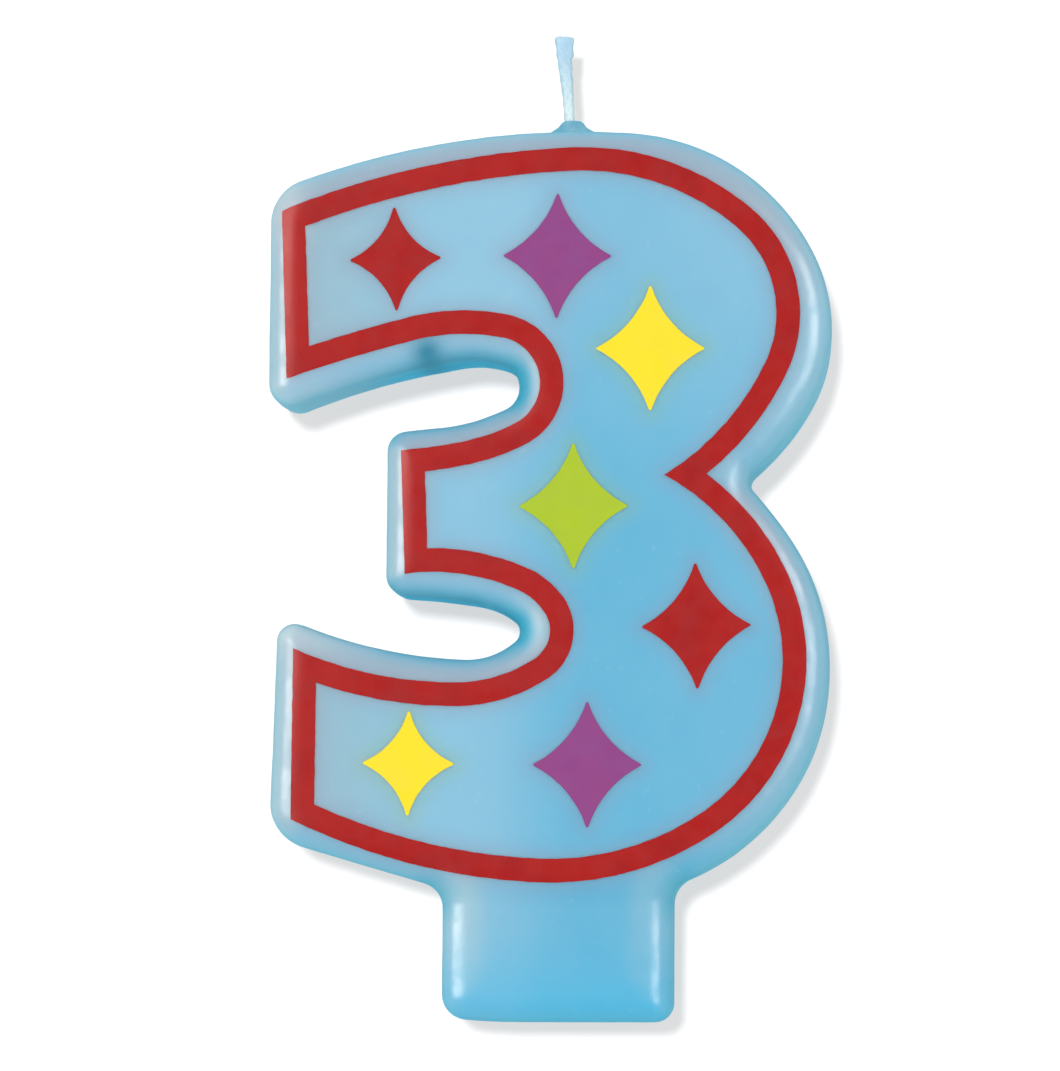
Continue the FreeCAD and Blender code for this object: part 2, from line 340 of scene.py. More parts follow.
def slope(field, points, reach=0.02):
    """Unit normals of a field and the length of its gradient."""
    parts = []
    for axis in range(3):
        step = np.zeros(3)
        step[axis] = reach
        parts.append((field(points + step) - field(points - step)) / (2 * reach))
    gradient = np.stack(parts, 1)
    size = np.linalg.norm(gradient, axis=1, keepdims=True)
    return gradient / size, size[:, 0]


def settle(field, points, rounds=2):
    """Moves points onto a field's zero surface."""
    for _ in range(rounds):
        normal, size = slope(field, points)
        points = points - normal * (field(points) / size)[:, None]
    return points


def edge_pairs(quads):
    """The pairs of vertices that the sides of the quads join, each pair once."""
    pairs = np.vstack([quads[:, [0, 1]], quads[:, [1, 2]], quads[:, [2, 3]], quads[:, [3, 0]]])
    return np.unique(np.sort(pairs, 1), axis=0)


def averaged(values, pairs, rounds=1):
    """Values at the vertices, each drawn halfway to the mean of its neighbours."""
    flat = values.reshape(len(values), -1).astype(float)
    count = np.bincount(pairs.ravel(), minlength=len(flat))[:, None]
    for _ in range(rounds):
        mean = np.zeros_like(flat)
        np.add.at(mean, pairs[:, 0], flat[pairs[:, 1]])
        np.add.at(mean, pairs[:, 1], flat[pairs[:, 0]])
        flat = (flat + mean / count) / 2
    return flat.reshape(values.shape)


def add_object(name, data):
    """A new object in the scene."""
    thing = bpy.data.objects.new(name, data)
    bpy.context.scene.collection.objects.link(thing)
    return thing


def add_mesh(name, vertices, faces, material, smooth_faces=None):
    """A mesh object, from millimetres, smooth-shaded or only its first faces so."""
    mesh = bpy.data.meshes.new(name)
    faces = faces.tolist() if isinstance(faces, np.ndarray) else faces
    mesh.from_pydata((np.asarray(vertices) * MM).tolist(), [], faces)
    smooth = len(mesh.polygons) if smooth_faces is None else smooth_faces
    mesh.polygons.foreach_set("use_smooth", [place < smooth for place in range(len(faces))])
    mesh.materials.append(material)
    mesh.update()
    if smooth_faces is not None:
        mark_sharp_rims(mesh, smooth_faces)
    return add_object(name, mesh)


def mark_sharp_rims(mesh, smooth_faces):
    """Makes the edges between the first, smooth faces and the others sharp."""
    inner, outer = set(), set()
    for face in mesh.polygons:
        (inner if face.index < smooth_faces else outer).update(face.edge_keys)
    for edge in mesh.edges:
        edge.use_edge_sharp = edge.key in inner and edge.key in outer


def add_attribute(piece, name, values):
    """A number at every vertex, for the materials to read by name."""
    layer = piece.data.attributes.new(name, "FLOAT", "POINT")
    layer.data.foreach_set("value", np.asarray(values, np.float32))


def claim(piece, node):
    """Makes a piece stand in for a CAD node."""
    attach(piece, "root")
    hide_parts(node)


# ---------------------------------------------------------------- the dipped wax
def plate_distance(flat, y, z):
    """Distance from the rounded plate, from the distance to its outline and the depth."""
    half = TAB_HALF_DEPTH + (NUMERAL_HALF_DEPTH - TAB_HALF_DEPTH) * smoothstep(*TAB_BLEND, z)
    beside, beyond = flat + RIM_REACH, np.abs(y) - half + RIM_REACH
    outside = np.maximum(beside, 0) ** RIM_POWER + np.maximum(beyond, 0) ** RIM_POWER
    return np.minimum(np.maximum(beside, beyond), 0) + outside ** (1 / RIM_POWER) - RIM_REACH


def wax_field(points):
    """The plate with the ripples that dipping leaves, and the line where the mould closed."""
    flat = outline_distance(BODY_CURVES, points[:, [0, 2]])
    plain = plate_distance(flat, points[:, 1], points[:, 2])
    on_rim = smoothstep(-3.2, -1.2, flat) * smoothstep(2.0, 4.2, np.abs(points[:, 1]))
    swell = 0.035 * ripple(points, 14.0, 3, 2)
    stipple = 0.016 * ripple(points * np.array([1, 1, 0.45]), 2.6, 5, 2) * (0.3 + on_rim)
    seam = SEAM_HEIGHT * np.exp(-((points[:, 1] / 0.4) ** 2)) * smoothstep(-1.5, -0.3, flat)
    return plain + SKIN_ALLOWANCE - swell - stipple - seam


def make_wax():
    """The blue coat as a closed skin: its vertices, its quads and the quads' sides."""
    axes = [np.arange(a, b + MESH_STEP, MESH_STEP) for a, b in zip(GRID_LOW, GRID_HIGH)]
    columns = np.stack(np.meshgrid(axes[0], axes[2], indexing="ij"), -1)
    flat = outline_distance(BODY_CURVES, columns.reshape(-1, 2)).reshape(columns.shape[:2])
    value = plate_distance(flat[:, None, :], axes[1][None, :, None], axes[2][None, None, :])
    vertices, quads = surface_net(axes, value)
    pairs = edge_pairs(quads)
    vertices = settle(wax_field, averaged(settle(wax_field, vertices, 1), pairs, 3), 2)
    return vertices, quads, pairs


BODY_CURVES = outline(BODY_START, BODY)
WAX_VERTICES, WAX_QUADS, WAX_PAIRS = make_wax()
WAX_TREE = BVHTree.FromPolygons(WAX_VERTICES.tolist(), WAX_QUADS.tolist())


# ---------------------------------------------------------------- printed ink
def trace(curves, step):
    """Evenly spread points round a closed outline."""
    points = []
    for curve in curves:
        count = max(2, math.ceil(length_of(curve) / step))
        points += [point_on(curve, share) for share in np.arange(count) / count]
    return np.array(points)


def inset(curves, width):
    """The outline moved inwards, its corners kept sharp."""
    joints = []
    for number, curve in enumerate(curves):
        following, corner = curves[(number + 1) % len(curves)], curve["b"]
        one, other = right_normal(curve, corner), right_normal(following, corner)
        if one @ other > 0.9999:
            joints.append(corner + one * width)
        else:
            start = corner + (one + other) * width / 2
            joints.append(equidistant(curve, following, start, width))
    moved = []
    for number, curve in enumerate(curves):
        radius = curve.get("r", 0) + curve.get("side", 0) * width
        moved.append({**curve, "a": joints[number - 1], "b": joints[number], "r": radius})
    return moved


def arc_points(start, middle, end, step):
    """Points on the arc through three points, its end left out."""
    chords = np.array([middle - start, end - start])
    centre = start + np.linalg.solve(2 * chords, (chords**2).sum(1))
    angles = [math.atan2(*(point - centre)[::-1]) for point in (start, middle, end)]
    turn = (angles[2] - angles[0]) % (2 * math.pi)
    if (angles[1] - angles[0]) % (2 * math.pi) > turn:
        turn -= 2 * math.pi
    radius = np.hypot(*(start - centre))
    count = max(3, math.ceil(radius * abs(turn) / step))
    spread = angles[0] + turn * np.arange(count) / count
    return centre + radius * np.stack([np.cos(spread), np.sin(spread)], 1)


def star_outline(kind, centre_x, centre_z, turn):
    """Four hollow sides between four slightly blunted tips."""
    half_width, half_height, hollow = STAR_KINDS[kind]
    turn = math.radians(turn)
    turning = np.array([[math.cos(turn), -math.sin(turn)], [math.sin(turn), math.cos(turn)]])
    tips = np.array([(0, half_height), (half_width, 0), (0, -half_height), (-half_width, 0)])
    waists = hollow * np.array([(1, 1), (1, -1), (-1, -1), (-1, 1)]) / math.sqrt(2)
    points = []
    for number in range(4):
        ends = []
        for tip in (tips[number], tips[(number + 1) % 4]):
            outward = tip / np.hypot(*tip)
            aside = np.array([-outward[1], outward[0]]) * STAR_TIP_SPREAD
            ends.append((tip - outward * STAR_TIP, aside))
        (shoulder, aside), (next_shoulder, next_aside) = ends
        leaving, arriving = shoulder - aside, next_shoulder + next_aside
        points.append(arc_points(shoulder + aside, tips[number], leaving, STAR_STEP / 2))
        points.append(arc_points(leaving, waists[number], arriving, STAR_STEP))
    return np.vstack(points) @ turning.T + (centre_x, centre_z)


def uneven(loop, amount, seed):
    """The loop with a slightly wavering edge, as a soft printing pad leaves."""
    ahead, behind = np.roll(loop, -1, 0), np.roll(loop, 1, 0)
    along = ahead - behind
    sideways = np.stack([along[:, 1], -along[:, 0]], 1) / np.hypot(*along.T)[:, None]
    return loop + sideways * (amount * ripple(loop, 1.6, seed))[:, None]


def within(points, loops):
    """Whether points are inside closed loops, by crossings, so an inner loop is a hole."""
    inside = np.zeros(len(points), bool)
    for loop in loops:
        for (x0, z0), (x1, z1) in zip(loop, np.roll(loop, -1, 0)):
            if z0 != z1:
                level = (points[:, 1] > z0) != (points[:, 1] > z1)
                crossing = x0 + (points[:, 1] - z0) * (x1 - x0) / (z1 - z0)
                inside ^= level & (points[:, 0] < crossing)
    return inside


def spread_points(loops):
    """The loops' own points, then a grid of points inside them that keeps clear of them."""
    edge = np.vstack(loops)
    low, high = edge.min(0), edge.max(0)
    grid = np.stack(np.meshgrid(*[np.arange(a, b, FILM_STEP) for a, b in zip(low, high)]), -1)
    grid = grid.reshape(-1, 2)
    grid = grid[within(grid, loops)]
    tree = point_tree(edge)
    clear = [tree.find((x, z, 0))[2] > FILM_STEP * 0.45 for x, z in grid]
    return np.vstack([edge, grid[clear]])


def fill(loops):
    """Points inside the loops, triangles over them, and the triangle sides on the edge."""
    links, start = [], 0
    for loop in loops:
        numbers = np.arange(start, start + len(loop))
        links += list(zip(numbers.tolist(), np.roll(numbers, -1).tolist()))
        start += len(loop)
    points = [Vector(point) for point in spread_points(loops)]
    filled = delaunay_2d_cdt(points, links, [], 0, 1e-7)
    flat, triangles = np.array(filled[0]), np.array(filled[2])
    triangles = triangles[within(flat[triangles].mean(1), loops)]
    sides = np.vstack([triangles[:, [0, 1]], triangles[:, [1, 2]], triangles[:, [2, 0]]])
    ordered = np.sort(sides, 1)
    _, which, uses = np.unique(ordered, axis=0, return_inverse=True, return_counts=True)
    rims = sides[uses[which.ravel()] == 1]
    used = np.unique(triangles)
    renumber = np.full(len(flat), -1)
    renumber[used] = np.arange(len(used))
    return flat[used], renumber[triangles], renumber[rims]


def film_mesh(loops):
    """A closed thin film that lies on the wax inside the loops, and its front faces' count."""
    flat, triangles, rims = fill(loops)
    wax = np.array([WAX_TREE.ray_cast((x, -20, z), (0, 1, 0))[0][1] for x, z in flat])
    front = np.stack([flat[:, 0], wax - INK_HEIGHT, flat[:, 1]], 1)
    back = np.stack([flat[:, 0], wax + INK_BED, flat[:, 1]], 1)
    behind = len(flat)
    sides = np.stack([rims[:, 1], rims[:, 0], rims[:, 0] + behind, rims[:, 1] + behind], 1)
    faces = triangles.tolist() + (triangles[:, ::-1] + behind).tolist() + sides.tolist()
    return np.vstack([front, back]), faces, len(triangles)


# ---------------------------------------------------------------- wick and collar
def wick_ring(z, angle):
    """The plait's outline at one height, seen from above."""
    bare = max(0.0, (z - WICK_BASE.z) / (WICK_TIP.z - WICK_BASE.z))
    middle = WICK_BASE.x + (WICK_TIP.x - WICK_BASE.x) * bare + 0.05 * math.sin(bare * 7) * bare
    shares, widths, depths = zip(*WICK_STAGES)
    across, through = np.interp(bare, shares, widths), np.interp(bare, shares, depths)
    plait = np.abs(np.sin(2 * angle + z * 2.9)) * np.abs(np.sin(2 * angle - z * 2.9))
    relief = 1 + 0.11 * (plait - 0.4) + 0.02 * np.sin(9 * angle + z * 5)
    # a little below the cut end, one side steps out
    step = 0.1 * smoothstep(82.4, 82.8, z) * np.maximum(np.cos(angle), 0)
    x = middle + across * relief * np.cos(angle) + step
    return np.stack([x, through * relief * np.sin(angle), np.full(len(angle), z)], 1)


def wick_mesh():
    """A flat plait of waxed cotton, straight in the candle, leaning and fanning out above."""
    angle = np.linspace(0, 2 * math.pi, 72, endpoint=False)
    rows = [wick_ring(z, angle) for z in np.linspace(WICK_FOOT, WICK_TIP.z, 520)]
    # the cut end closes over two low lobes
    lobes = 0.09 - 0.06 * np.cos(2 * angle) * np.cos(angle) + 0.02 * np.sin(5 * angle)
    rim = rows[-1]
    for turn in (0.35, 0.7, 1.05, 1.35):
        row = rim.copy()
        row[:, 0] = WICK_TIP.x + (row[:, 0] - WICK_TIP.x) * math.cos(turn)
        row[:, 1] *= math.cos(turn)
        row[:, 2] += lobes * math.sin(turn)
        rows.append(row)
    return stack_rows(rows, (WICK_BASE.x, 0, WICK_FOOT), (WICK_TIP.x, 0, WICK_TIP.z + 0.07))


def stack_rows(rows, foot, tip):
    """Closes rings of points, from the foot's to the tip's, into one skin."""
    around, last = len(rows[0]), (len(rows) - 1) * len(rows[0])
    vertices = np.vstack(rows + [[foot, tip]])
    faces = []
    for base in range(0, last, around):
        for place in range(around):
            after = (place + 1) % around
            above = base + around
            faces.append([base + place, base + after, above + after, above + place])
    for place in range(around):
        after = (place + 1) % around
        faces.append([after, place, len(vertices) - 2])
        faces.append([last + place, last + after, len(vertices) - 1])
    return vertices, faces


def seat_height(x, y):
    """Height of the wax under a place on the top edge."""
    return WAX_TREE.ray_cast((x, y, 90), (0, 0, -1))[0][2]


def collar_mesh():
    """The small uneven bell of wax drawn up the wick, seated on the top edge."""
    angle = np.linspace(0, 2 * math.pi, 96, endpoint=False)
    top = COLLAR_TOP_RADIUS + 0.04 * np.cos(3 * angle)
    foot = COLLAR_FOOT_RADIUS + 0.6 * np.cos(angle) ** 2 + 0.08 * np.sin(3 * angle + 0.6)
    rows = []
    for share in np.linspace(1, 0, 34):
        reach = 0.3 + (foot - 0.3) * share
        x, y = COLLAR_X + reach * np.cos(angle), reach * np.sin(angle)
        seat = np.array([seat_height(*place) for place in zip(x, y)])
        down = np.clip((reach - top) / (foot - top), 0, 1)
        drop = 0.5 * down + 0.5 * down ** 0.5 * smoothstep(0, 0.3, down)
        z = COLLAR_CROWN + (seat - 0.05 - COLLAR_CROWN) * drop
        z += 0.02 * ripple(np.stack([x, y, z], 1), 1.3, 11)
        rows.append(np.stack([x, y, z], 1))
    skirt = rows[0].copy()
    skirt[:, 2] -= 0.35
    low = (COLLAR_X, 0, skirt[:, 2].mean())
    return stack_rows([skirt] + rows, low, (COLLAR_X, 0, COLLAR_CROWN))


# ---------------------------------------------------------------- materials
def linear(red, green, blue, gain=1.0):
    """A display colour from 0 to 255 as scene-linear RGBA."""
    channels = []
    for channel in (red, green, blue):
        share = channel / 255
        share = share / 12.92 if share <= 0.04045 else ((share + 0.055) / 1.055) ** 2.4
        channels.append(min(1.0, share * gain))
    return (*channels, 1.0)


class Nodes:
    """Short calls for building one material's node tree."""

    def __init__(self, name):
        self.material = bpy.data.materials.new(name)
        self.material.use_nodes = True
        self.tree = self.material.node_tree
        self.shader = self.tree.nodes["Principled BSDF"]
        self.place = self.add("ShaderNodeTexCoord").outputs["Object"]

    def add(self, kind, values=None, **settings):
        """A new node with its settings, its sockets set or linked by name or number."""
        node = self.tree.nodes.new(kind)
        for name, value in settings.items():
            setattr(node, name, value)
        for socket, value in (values or {}).items():
            self.put(node.inputs[socket], value)
        return node

    def put(self, socket, value):
        """Links a node's output to a socket, or sets the socket to a plain value."""
        if isinstance(value, bpy.types.NodeSocket):
            self.tree.links.new(value, socket)
        else:
            socket.default_value = value

    def attribute(self, name):
        """A value that add_attribute left at the vertices."""
        return self.add("ShaderNodeAttribute", attribute_name=name).outputs["Fac"]

    def noise(self, size, detail=3.0, roughness=0.55, stretch=(1, 1, 1)):
        """Noise whose features are about a size in millimetres, centred on a half."""
        stretched = self.add("ShaderNodeMapping", {"Vector": self.place, "Scale": stretch})
        values = {"Vector": stretched.outputs[0], "Scale": 1 / (size * MM), "Detail": detail}
        values["Roughness"] = roughness
        return self.add("ShaderNodeTexNoise", values).outputs["Fac"]

    def ramp(self, value, low, high, start=0.0, end=1.0):
        """Runs smoothly from start to end as a value goes from low to high."""
        values = {"Value": value, "From Min": low, "From Max": high, "To Min": start, "To Max": end}
        return self.add("ShaderNodeMapRange", values, interpolation_type="SMOOTHSTEP").outputs[0]

    def times(self, one, other):
        return self.add("ShaderNodeMath", {0: one, 1: other}, operation="MULTIPLY").outputs[0]

    def plus(self, one, other):
        return self.add("ShaderNodeMath", {0: one, 1: other}, operation="ADD").outputs[0]

    def mix(self, factor, one, other):
        """One colour where a factor is nothing, the other where it is one."""
        values = {0: factor, 6: one, 7: other}
        return self.add("ShaderNodeMix", values, data_type="RGBA").outputs[2]

    def bump(self, height, distance):
        """A normal for relief of a distance in millimetres."""
        values = {"Height": height, "Distance": distance * MM, "Strength": 1.0}
        return self.add("ShaderNodeBump", values).outputs[0]

    def set(self, **values):
        """Sets or links the shader's sockets, named with _ for a space."""
        for name, value in values.items():
            self.put(self.shader.inputs[name.replace("_", " ")], value)


# how much darker a surface's own colour is than it looks under this light
WAX_GAIN = 0.86
INK_GAIN = 0.82


def tint(red, green, blue):
    """A wax colour that shows as the given display colour under this scene's light."""
    return linear(red, green, blue, WAX_GAIN)


def ink(red, green, blue):
    """An ink colour that shows as the given display colour under this scene's light."""
    return linear(red, green, blue, INK_GAIN)


# How the wax is coloured, one layer over the other: a value that colour_wax leaves at the
# vertices, how strongly it colours, and the colour. Most layers are painted light and shade.
WAX_DYES = [
    # painted highlight along the upright rims
    ("side_rim_sheen", 0.6, tint(190, 214, 216)),
    # painted sheen on the upward rims
    ("top_rim_sheen", 0.8, tint(164, 184, 197)),
    # painted highlight at the arm tips
    ("corner", 0.8, tint(204, 220, 224)),
    # thick coat on the walls, and painted fill light on the downward ones
    ("wall", 0.6, linear(98, 174, 194, 1.35)),
    # painted shade along the upper walls
    ("limb_shade", 0.55, tint(84, 154, 178)),
    ("foot", 0.6, tint(70, 190, 228)),
    # wax pooled in the hollows, and painted shade
    ("pool_and_shade", 0.9, linear(36, 154, 180, 1.2)),
    # painted fill light on the shaded walls in the hollows
    ("shade", 0.7, linear(52, 190, 226, 1.4)),
    # painted shade beside the inks
    ("ink_shade_red", 0.28, tint(152, 154, 184)),
    ("ink_shade_yellow", 0.3, tint(150, 190, 150)),
    # a darker teal patch on the upper arm's underside
    ("patch", 0.9, tint(54, 144, 172)),
]
# each ink's material, its colour, and its colour where it is mottled
INKS = {
    "ink_red": ("red_ink", ink(178, 10, 5), ink(160, 18, 24)),
    "ink_purple": ("purple_ink", ink(150, 66, 136), ink(142, 72, 146)),
    "ink_yellow": ("yellow_ink", ink(255, 232, 34), ink(250, 226, 60)),
    "ink_green": ("green_ink", ink(178, 204, 34), ink(170, 198, 60)),
}


def wax_material():
    """Dyed wax over a white core: soft light inside, a thin gloss, and painted light and shade over
    its colour.
    """
    wax = Nodes("blue_wax")
    # painted light: the wax runs paler toward the left and the top
    colour = wax.mix(wax.attribute("pale"), tint(97, 185, 219), tint(150, 201, 225))
    # painted sheen: greyer over the faces of the left arms
    colour = wax.mix(wax.times(wax.attribute("left_sheen"), 0.75), colour, tint(160, 190, 202))
    cloud = wax.ramp(wax.noise(9.0, 2.0), 0.3, 0.7)
    colour = wax.mix(wax.times(cloud, 0.12), colour, tint(146, 206, 228))
    for name, strength, dye in WAX_DYES:
        colour = wax.mix(wax.times(wax.attribute(name), strength), colour, dye)
    speck = wax.ramp(wax.noise(0.9, 4.0), 0.62, 0.8)
    colour = wax.mix(wax.times(speck, 0.12), colour, tint(205, 230, 240))
    rough = wax.ramp(wax.noise(3.2, 4.0), 0.3, 0.75, 0.4, 0.56)
    height = wax.plus(wax.noise(1.4, 3.0), wax.times(wax.noise(0.25, 2.0), 0.2))
    wax.set(Base_Color=colour, Roughness=rough, Normal=wax.bump(height, 0.02))
    wax.set(IOR=1.45, Specular_IOR_Level=0.25, Subsurface_Weight=0.75, Subsurface_Scale=1.6 * MM)
    wax.set(Subsurface_Radius=(0.75, 1.0, 1.1), Coat_Roughness=0.3, Coat_IOR=1.5)
    blotch = wax.ramp(wax.noise(1.7, 3.0, 0.6), 0.38, 0.6, 0.35, 1.0)
    wax.set(Coat_Weight=wax.plus(wax.times(wax.attribute("gloss"), blotch), 0.06))
    return wax.material


def core_material():
    """Undyed wax, off-white and cloudy."""
    core = Nodes("white_wax")
    cloud = core.ramp(core.noise(5.0, 4.0), 0.3, 0.7)
    colour = core.mix(cloud, linear(236, 232, 214, 0.9), linear(222, 226, 212, 0.9))
    core.set(Base_Color=colour, Roughness=core.ramp(core.noise(1.5), 0.3, 0.7, 0.42, 0.6))
    core.set(Normal=core.bump(core.noise(0.6, 4.0), 0.03), Subsurface_Weight=0.6)
    core.set(Subsurface_Scale=2.0 * MM, Subsurface_Radius=(1.0, 0.9, 0.7))
    return core.material


def ink_material(name, body, mottled):
    """Pad-printed ink: nearly even, a little thin and mottled in places, satin."""
    film = Nodes(name)
    mottle = film.ramp(film.noise(2.6, 4.0, 0.6), 0.35, 0.75)
    colour = film.mix(film.times(mottle, 0.55), body, mottled)
    thin = film.ramp(film.noise(0.55, 5.0, 0.7), 0.62, 0.85)
    colour = film.mix(film.times(thin, 0.05), colour, ink(214, 170, 180))
    rough = film.ramp(film.noise(2.0, 4.0), 0.3, 0.7, 0.34, 0.5)
    grain = film.plus(film.noise(0.3, 3.0), film.noise(1.8, 2.0))
    film.set(Base_Color=colour, Roughness=rough, Normal=film.bump(grain, 0.012))
    film.set(Specular_IOR_Level=0.15, Coat_Weight=0.22, Coat_Roughness=0.25)
    return film.material


def wick_material():
    """Cotton soaked in pale wax: threads show through, bluer toward the tip."""
    wick = Nodes("waxed_cotton")
    height = wick.add("ShaderNodeSeparateXYZ", {"Vector": wick.place}).outputs["Z"]
    up = wick.ramp(height, 77.0 * MM, 83.5 * MM)
    colour = wick.mix(up, tint(230, 247, 245), tint(182, 216, 236))
    threads = wick.ramp(wick.noise(0.5, 4.0, 0.6, (1, 1, 0.2)), 0.35, 0.7)
    colour = wick.mix(wick.times(threads, 0.3), colour, tint(146, 196, 214))
    fine = wick.add(
        "ShaderNodeTexWave",
        {"Vector": wick.place, "Scale": 900.0, "Distortion": 3.0, "Detail": 2.0},
        bands_direction="DIAGONAL",
    ).outputs["Fac"]
    wick.set(Base_Color=colour, Roughness=0.5, Normal=wick.bump(fine, 0.03))
    wick.set(Subsurface_Weight=0.5, Subsurface_Scale=0.8 * MM, Subsurface_Radius=(0.9, 1.0, 1.0))
    wick.set(Specular_IOR_Level=0.2, Coat_Weight=0.1, Coat_Roughness=0.35)
    return wick.material


def collar_material():
    """The coat's wax again, with the white core showing at one side of its foot."""
    wax = Nodes("collar_wax")
    cloud = wax.ramp(wax.noise(1.2, 3.0), 0.3, 0.7)
    colour = wax.mix(cloud, tint(96, 172, 200), tint(134, 190, 212))
    colour = wax.mix(wax.attribute("bare"), colour, linear(226, 232, 196, 0.9))
    wax.set(Base_Color=colour, Roughness=0.35, Normal=wax.bump(wax.noise(0.5, 3.0), 0.02))
    wax.set(Subsurface_Weight=0.5, Subsurface_Scale=0.8 * MM, Subsurface_Radius=(0.75, 1.0, 1.1))
    wax.set(Coat_Weight=0.3, Coat_Roughness=0.2, Specular_IOR_Level=0.35)
    return wax.material


# ---------------------------------------------------------------- colouring the wax, mostly with painted light and shade
# places on the wax that take colour of their own, mostly painted light and shade: a centre and a
# size in the XZ plane
# painted highlights at the arm tips and on the upper arm's underside
LOWER_ARM_TIP = ((-24.0, 33.5), (7, 2.8))
UPPER_ARM_TIP = ((-24, 69), (2.5, 3.5))
UPPER_ARM_UNDERSIDE = ((-21.5, 52.5), (5, 2.2))
# where the tab meets the numeral: pooled wax with painted shade
LEFT_FLARE = ((-10.3, 10.6), (1.5, 1.8))
RIGHT_FLARE = ((10.3, 11.0), (1.5, 1.8))
# a darker teal patch on the upper arm's underside
UNDERARM_DARK_PATCH = ((-11.0, 56.8), (1.2, 1.3))
# wax this far across a gap makes a hollow of it
HOLLOW_REACH = 4.5
# how far the painted shade beside the inks reaches into the wax
INK_SHADE_REACH = 1.0


def spot(points, place):
    """One at a place's centre, falling softly to nothing beyond its size."""
    centre, size = place
    offset = (points[:, [0, 2]] - centre) / size
    return np.exp(-(offset**2).sum(1))


def outline_heading(points):
    """Unit directions in the XZ plane towards the nearest place on the outline."""
    step = 0.02
    gradient = []
    for shift in ((step, 0), (0, step)):
        ahead = outline_distance(BODY_CURVES, points + shift)
        gradient.append(ahead - outline_distance(BODY_CURVES, points - shift))
    gradient = np.stack(gradient, 1)
    return gradient / np.maximum(np.hypot(*gradient.T), 1e-9)[:, None]


def dye_values(vertices, normal):
    """Every colour layer's share at the vertices, from the shape, under the names in the wax
    material; most layers are painted light and shade.
    """
    x, y, z = vertices.T
    flat = vertices[:, [0, 2]]
    # the slope of the surface, from nothing on the faces to one on the walls
    tilt = 1 - np.abs(normal[:, 1])
    inside = -outline_distance(BODY_CURVES, flat)
    ring = smoothstep(4.4, 2.4, inside)
    numeral = smoothstep(9, 14, z)
    # which way the nearest edge faces
    outward = outline_heading(flat)
    upward = smoothstep(0.0, 0.7, outward[:, 1])
    downward = smoothstep(0.0, 0.8, -outward[:, 1])
    leftward = smoothstep(0.3, 0.95, -outward[:, 0])
    rightward = smoothstep(0.3, 0.95, outward[:, 0])
    upper = smoothstep(-0.3, 0.5, outward[:, 1]) * numeral
    front = 0.35 + 0.65 * smoothstep(2, -2, y)
    # deeper teal where the dip's wax runs together, in the two bays and where the tab meets the
    # numeral, with painted shade as well, strongest on the back halves of the walls and low down
    # under the numeral
    beyond = outline_distance(BODY_CURVES, flat + outward * (HOLLOW_REACH + inside)[:, None])
    hollow = np.clip(1 - beyond / HOLLOW_REACH, 0, 1)
    hollow = hollow * smoothstep(14, 11, x) * smoothstep(-18, -9, x)
    bay_end = np.clip(2.2 * hollow, 0, 1) * leftward * numeral
    flares = spot(vertices, LEFT_FLARE) + spot(vertices, RIGHT_FLARE)
    # painted shade on the downward rims low on the numeral
    under = 0.18 * ring * downward * smoothstep(20, 13, z) * numeral
    # painted shade in the hollows, deeper on the walls and toward their back halves
    deep = (0.5 + 0.6 * smoothstep(-4.5, 0.5, y)) * smoothstep(0.05, 0.4, tilt)
    deep *= 1.1 - 0.5 * upward
    pool_and_shade = hollow * deep + 0.85 * bay_end * smoothstep(0.02, 0.1, tilt) + 0.45 * flares + under
    # painted fill light: brighter cyan on the shaded back halves of the downward walls in the
    # hollows
    shade = np.clip(2 * hollow, 0, 1) * downward * smoothstep(-4.5, -1, y)
    # painted light: paler toward the left and the top and a little toward the right, less so low
    # down, with painted highlights at the two left arm tips and on the upper arm's underside
    pale = 0.08 + 0.75 * smoothstep(3, -8, x) + 0.5 * smoothstep(42, 68, z)
    pale = (pale + 0.15 * smoothstep(6, 14, x)) * (1 - 0.12 * smoothstep(16, 2, z))
    corner = spot(vertices, LOWER_ARM_TIP) + spot(vertices, UPPER_ARM_TIP)
    corner += 0.45 * spot(vertices, UPPER_ARM_UNDERSIDE)
    # the upright rims are glossy, but not the walls, the bays' ends or the flares
    dull = bay_end * smoothstep(0.01, 0.035, tilt) + flares + smoothstep(0.3, 0.6, tilt)
    return {
        "pale": np.clip(pale, 0, 1),
        # deeper cyan where the coat is thick on the walls, and painted fill light brightening the
        # downward walls
        "wall": smoothstep(0.25, 0.85, tilt) * (0.35 + 0.65 * downward),
        # painted sheen on the upward rims
        "top_rim_sheen": ring * upward * smoothstep(0.0, 1.2, inside) * numeral * front,
        # painted highlight along the upright rims, most on the left
        "side_rim_sheen": ring * np.maximum(leftward, 0.5 * rightward) * (0.7 + 0.3 * numeral) * front,
        "corner": np.clip(corner, 0, 1) * ring,
        "pool_and_shade": np.clip(pool_and_shade, 0, 1),
        "gloss": ring * np.maximum(leftward, rightward) * (1 - np.clip(dull, 0, 0.95)),
        "shade": shade * smoothstep(0.3, 0.8, tilt),
        # painted shade: a darker line along the upper walls
        "limb_shade": upper * smoothstep(0.45, 0.85, tilt) * np.exp(-(((np.abs(y) - 3.6) / 1.2) ** 2)),
        "foot": smoothstep(9, 0.5, z),
        "patch": 1.2 * spot(vertices, UNDERARM_DARK_PATCH) * (normal[:, 1] < 0.2),
        # painted sheen: greyer over the faces of the left arms
        "left_sheen": smoothstep(-9, -21, x) * smoothstep(1.5, 4.5, inside),
    }


def ink_shade(vertices, normal, edges):
    """Painted shade on the front face beside the inks' edges, as if the ink kept light out of the
    wax beneath.
    """
    tree = point_tree(edges)
    away = np.array([tree.find((x, z, 0))[2] for x, _, z in vertices.tolist()])
    return np.exp(-((away / INK_SHADE_REACH) ** 2)) * (normal[:, 1] < -0.5)


